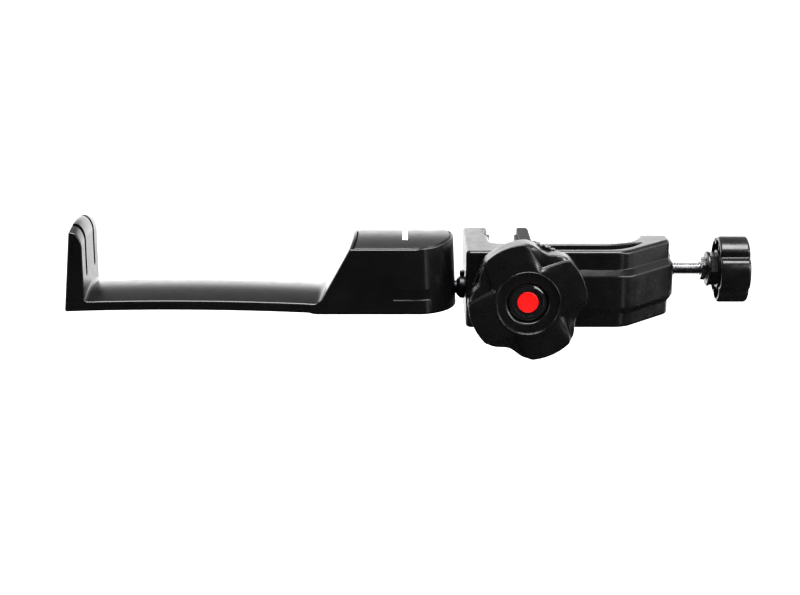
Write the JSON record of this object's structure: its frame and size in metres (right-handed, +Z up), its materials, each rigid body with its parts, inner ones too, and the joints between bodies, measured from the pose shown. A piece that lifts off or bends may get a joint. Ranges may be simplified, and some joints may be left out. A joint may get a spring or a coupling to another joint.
{
  "type": "headphone holder with clamp",
  "caption": "Black headphone holder arm with a slotted lip, on a universal C-clamp with a large lobed lock knob and a clamp screw with a small lobed knob.",
  "frame": {"origin": "centre of the gripped upright tube, at mid-height of the clamp", "axes": "+X from the holder arm towards the clamp screw's knob, +Y away from the user, +Z up along the upright tube"},
  "size_m": [0.4298, 0.1023, 0.0796],
  "materials": {
    "clamp_paint": "black moulded plastic, semi-gloss, fine grain",
    "arm_plastic": "black moulded plastic, satin",
    "lid_plastic": "black moulded plastic, fine matte grain",
    "stripe_white": "white inlay",
    "knob_plastic": "black moulded plastic, fine matte grain",
    "cap_gloss": "black gloss cap",
    "badge_red": "plain red disc",
    "pad_rubber": "black rubber",
    "zinc_steel": "bright zinc-plated steel",
    "dark_steel": "blackened steel",
    "insert_brass": "turned brass",
    "collet_nylon": "natural nylon"
  },
  "bodies": {
    "frame": {"clamp_frame": "clamp_paint", "fixed_jaw_pad": "pad_rubber", "screw_bush": "insert_brass", "lock_screw_bush": "insert_brass"},
    "jaw": {"moving_jaw": "clamp_paint", "moving_jaw_pad": "pad_rubber", "screw_retaining_clip": "zinc_steel"},
    "screw": {"clamp_screw": "zinc_steel", "screw_jam_nut": "zinc_steel", "clamp_knob_hub": "knob_plastic", "clamp_knob": "knob_plastic", "clamp_knob_cap": "knob_plastic"},
    "shoe": {"pressure_shoe": "insert_brass"},
    "lock": {"lock_screw": "zinc_steel", "lock_knob": "knob_plastic", "lock_knob_skirt": "knob_plastic", "lock_knob_cap": "cap_gloss", "lock_knob_badge": "badge_red"},
    "collet": {"rod_collet": "collet_nylon"},
    "arm": {"arm_rod": "dark_steel", "rod_stop_collar": "dark_steel", "collar_set_screw": "dark_steel", "rod_nut_inner": "zinc_steel", "rod_nut_outer": "zinc_steel", "rod_washer_inner": "zinc_steel", "rod_washer_outer": "zinc_steel", "holder_shell": "arm_plastic", "holder_lid": "lid_plastic", "lid_stripe": "stripe_white", "base_cover": "arm_plastic", "base_cover_screw_1": "zinc_steel", "base_cover_screw_2": "zinc_steel", "base_cover_screw_3": "zinc_steel", "base_cover_screw_4": "zinc_steel"}
  },
  "joints": [
    {"name": "jaw_slide", "type": "slide", "parent": "frame", "child": "jaw", "axis": [1, 0, 0], "range_m": [-0.0155, 0.048]},
    {"name": "clamp_knob_turn", "type": "hinge", "parent": "jaw", "child": "screw", "pos_m": [0.14, 0, 0], "axis": [1, 0, 0], "range_deg": [-4500, 13900]},
    {"name": "lock_slide", "type": "slide", "parent": "frame", "child": "shoe", "axis": [0, 1, 0], "range_m": [-0.003, 0]},
    {"name": "lock_knob_turn", "type": "hinge", "parent": "shoe", "child": "lock", "pos_m": [0.0128, -0.0645, -0.0015], "axis": [0, 1, 0], "range_deg": [-721, 0]},
    {"name": "arm_roll", "type": "hinge", "parent": "frame", "child": "collet", "pos_m": [-0.0237, -0.041, -0.0015], "axis": [1, 0, 0], "continuous": true},
    {"name": "arm_slide", "type": "slide", "parent": "collet", "child": "arm", "axis": [1, 0, 0], "range_m": [-0.024, 0]}
  ],
  "couplings": [
    {"joint": "clamp_knob_turn", "follows": "jaw_slide", "rad_per_m": 5026.5},
    {"joint": "lock_knob_turn", "follows": "lock_slide", "rad_per_m": 4188.8}
  ]
}
